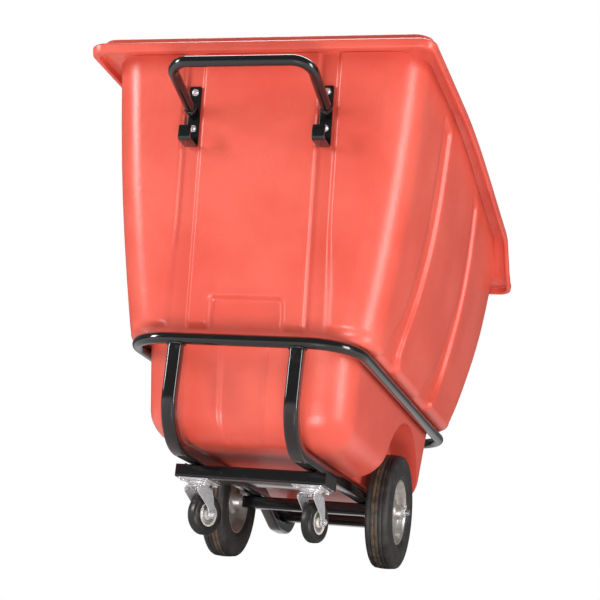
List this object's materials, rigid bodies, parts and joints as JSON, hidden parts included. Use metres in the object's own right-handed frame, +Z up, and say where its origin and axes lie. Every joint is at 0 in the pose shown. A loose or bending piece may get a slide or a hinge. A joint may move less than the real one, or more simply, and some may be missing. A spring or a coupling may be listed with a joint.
{
  "type": "tilt truck",
  "caption": "Wheeled tilt truck: a deep sloping plastic tub in a welded tube frame, with a push handle, two main wheels and two swivel casters.",
  "frame": {"origin": "on the floor, under the middle of the whole truck's box", "axes": "+Z up, +Y towards the dumping nose, -Y towards the push handle, X across the truck along the main axle"},
  "size_m": [0.8684, 1.4808, 1.162],
  "materials": {
    "red_polyethylene": "semi-gloss, fine moulded grain",
    "black_powder_coat": "gloss black powder coat",
    "black_rubber": "matt black rubber",
    "zinc_plate": "bright zinc plate",
    "silver_steel": "silver lacquer, slightly soiled",
    "grey_nylon": "satin",
    "bright_steel": "bright steel"
  },
  "bodies": {
    "truck": {"axle": "bright_steel", "axle_beam": "black_powder_coat", "axle_plug_left": "bright_steel", "axle_plug_right": "bright_steel", "axle_washer_left": "zinc_plate", "axle_washer_right": "zinc_plate", "caster_bolt_left_1": "zinc_plate", "caster_bolt_left_2": "zinc_plate", "caster_bolt_left_3": "zinc_plate", "caster_bolt_left_4": "zinc_plate", "caster_bolt_right_1": "zinc_plate", "caster_bolt_right_2": "zinc_plate", "caster_bolt_right_3": "zinc_plate", "caster_bolt_right_4": "zinc_plate", "caster_kingpin_left": "bright_steel", "caster_kingpin_right": "bright_steel", "caster_plate_left": "zinc_plate", "caster_plate_right": "zinc_plate", "caster_race_left": "zinc_plate", "caster_race_right": "zinc_plate", "front_cross_tube": "black_powder_coat", "handle_bracket_left": "black_powder_coat", "handle_bracket_right": "black_powder_coat", "handle_screw_left_lower": "bright_steel", "handle_screw_left_upper": "bright_steel", "handle_screw_right_lower": "bright_steel", "handle_screw_right_upper": "bright_steel", "handle_tube": "black_powder_coat", "rear_rail": "black_powder_coat", "ring_tube": "black_powder_coat", "split_pin_left": "zinc_plate", "split_pin_right": "zinc_plate", "support_left": "black_powder_coat", "support_right": "black_powder_coat", "tub": "red_polyethylene", "wheel_spacer_left": "zinc_plate", "wheel_spacer_right": "zinc_plate"},
    "caster_left": {"caster_axle_left": "zinc_plate", "caster_fork_left": "zinc_plate", "caster_nut_left": "zinc_plate"},
    "caster_right": {"caster_axle_right": "zinc_plate", "caster_fork_right": "zinc_plate", "caster_nut_right": "zinc_plate"},
    "caster_wheel_left": {"caster_bush_left": "bright_steel", "caster_core_left": "grey_nylon", "caster_tread_left": "black_rubber"},
    "caster_wheel_right": {"caster_bush_right": "bright_steel", "caster_core_right": "grey_nylon", "caster_tread_right": "black_rubber"},
    "main_wheel_left": {"wheel_bearing_left": "bright_steel", "wheel_disc_left": "silver_steel", "wheel_tyre_left": "black_rubber"},
    "main_wheel_right": {"wheel_bearing_right": "bright_steel", "wheel_disc_right": "silver_steel", "wheel_tyre_right": "black_rubber"}
  },
  "joints": [
    {"name": "main_wheel_spin_left", "type": "hinge", "parent": "truck", "child": "main_wheel_left", "pos_m": [-0.2268, 0.24235, 0.1525], "axis": [1, 0, 0], "continuous": true},
    {"name": "caster_swivel_left", "type": "hinge", "parent": "truck", "child": "caster_left", "pos_m": [-0.1444, -0.24715, 0.1], "axis": [0, 0, 1], "continuous": true},
    {"name": "caster_wheel_spin_left", "type": "hinge", "parent": "caster_left", "child": "caster_wheel_left", "pos_m": [-0.13112, -0.21585, 0.0508], "axis": [0.9205, -0.3907, 0], "continuous": true},
    {"name": "main_wheel_spin_right", "type": "hinge", "parent": "truck", "child": "main_wheel_right", "pos_m": [0.2268, 0.24235, 0.1525], "axis": [1, 0, 0], "continuous": true},
    {"name": "caster_swivel_right", "type": "hinge", "parent": "truck", "child": "caster_right", "pos_m": [0.1444, -0.24715, 0.1], "axis": [0, 0, 1], "continuous": true},
    {"name": "caster_wheel_spin_right", "type": "hinge", "parent": "caster_right", "child": "caster_wheel_right", "pos_m": [0.15147, -0.21389, 0.0508], "axis": [0.9781, -0.2079, 0], "continuous": true}
  ]
}
